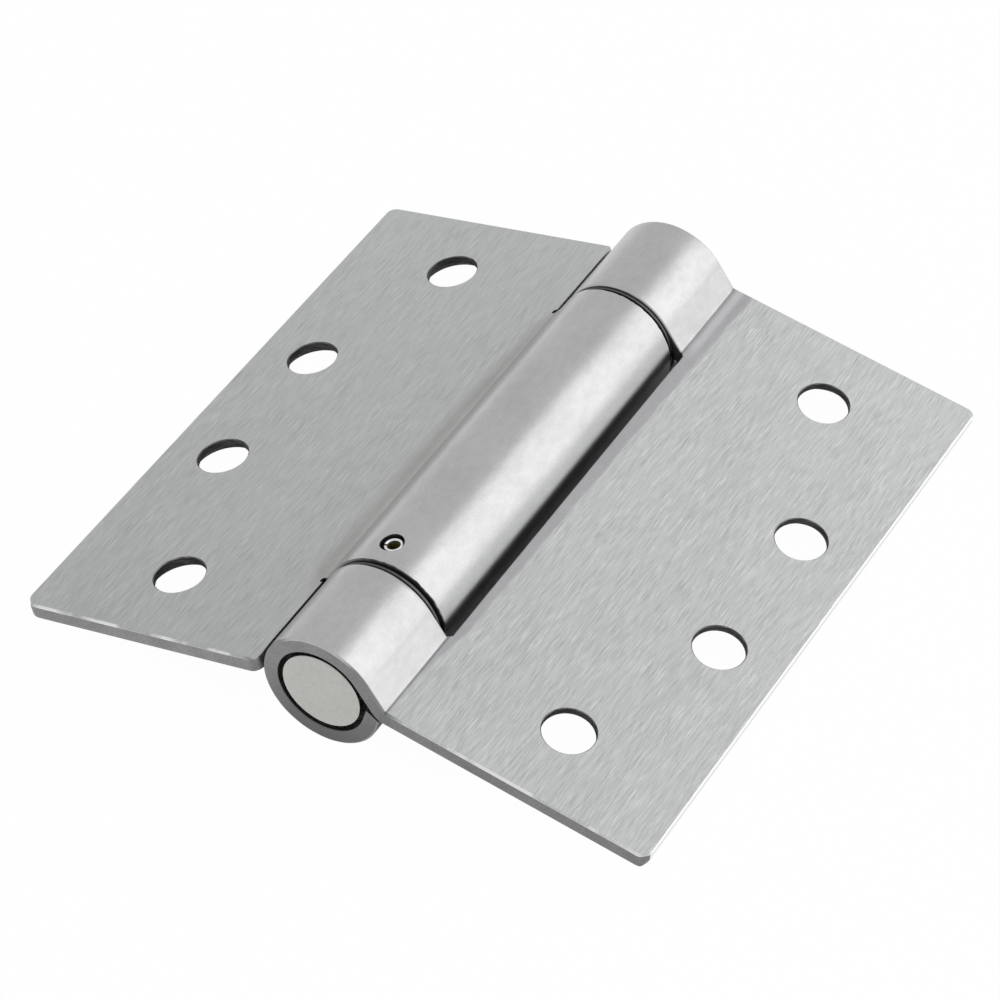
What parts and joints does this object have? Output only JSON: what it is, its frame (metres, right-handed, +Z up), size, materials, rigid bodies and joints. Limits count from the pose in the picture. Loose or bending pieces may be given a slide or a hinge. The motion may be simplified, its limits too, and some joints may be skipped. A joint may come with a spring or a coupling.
{
  "type": "spring loaded door hinge",
  "caption": "Full mortise door hinge in satin steel with a torsion spring inside its long centre barrel, which swings the two leaves closed.",
  "frame": {"origin": "on the surface it lies on, below the middle of the barrel", "axes": "+Y along the barrel, away from the end with the plain spindle face; +X across, towards the outer edge of the end knuckle leaf; +Z up, the back faces of both leaves facing up"},
  "size_m": [0.1036, 0.1016, 0.0189],
  "materials": {
    "satin_steel": "satin, brushed along the barrel",
    "plated_steel": "smooth, dull zinc plate",
    "bright_pin": "bright",
    "washer_steel": "dull",
    "dark_nylon": "matt",
    "spring_steel": "oil blackened"
  },
  "bodies": {
    "end_knuckle_side": {"end_knuckle_leaf": "satin_steel", "knuckle_bush": "dark_nylon", "near_thrust_washer": "washer_steel", "far_thrust_washer": "washer_steel", "tension_adjuster": "plated_steel", "tension_lock_pin": "bright_pin", "torsion_spring": "spring_steel"},
    "barrel_side": {"barrel_leaf": "satin_steel", "barrel_bush": "dark_nylon", "pivot_spindle": "plated_steel", "spindle_pin": "bright_pin"}
  },
  "joints": [
    {"name": "leaf_swing", "type": "hinge", "parent": "end_knuckle_side", "child": "barrel_side", "pos_m": [0, 0, 0.00945], "axis": [0, -1, 0], "range_deg": [-22.18, 157.82], "stiffness_Nm_per_rad": 1.33, "deforming": ["torsion_spring"]}
  ]
}
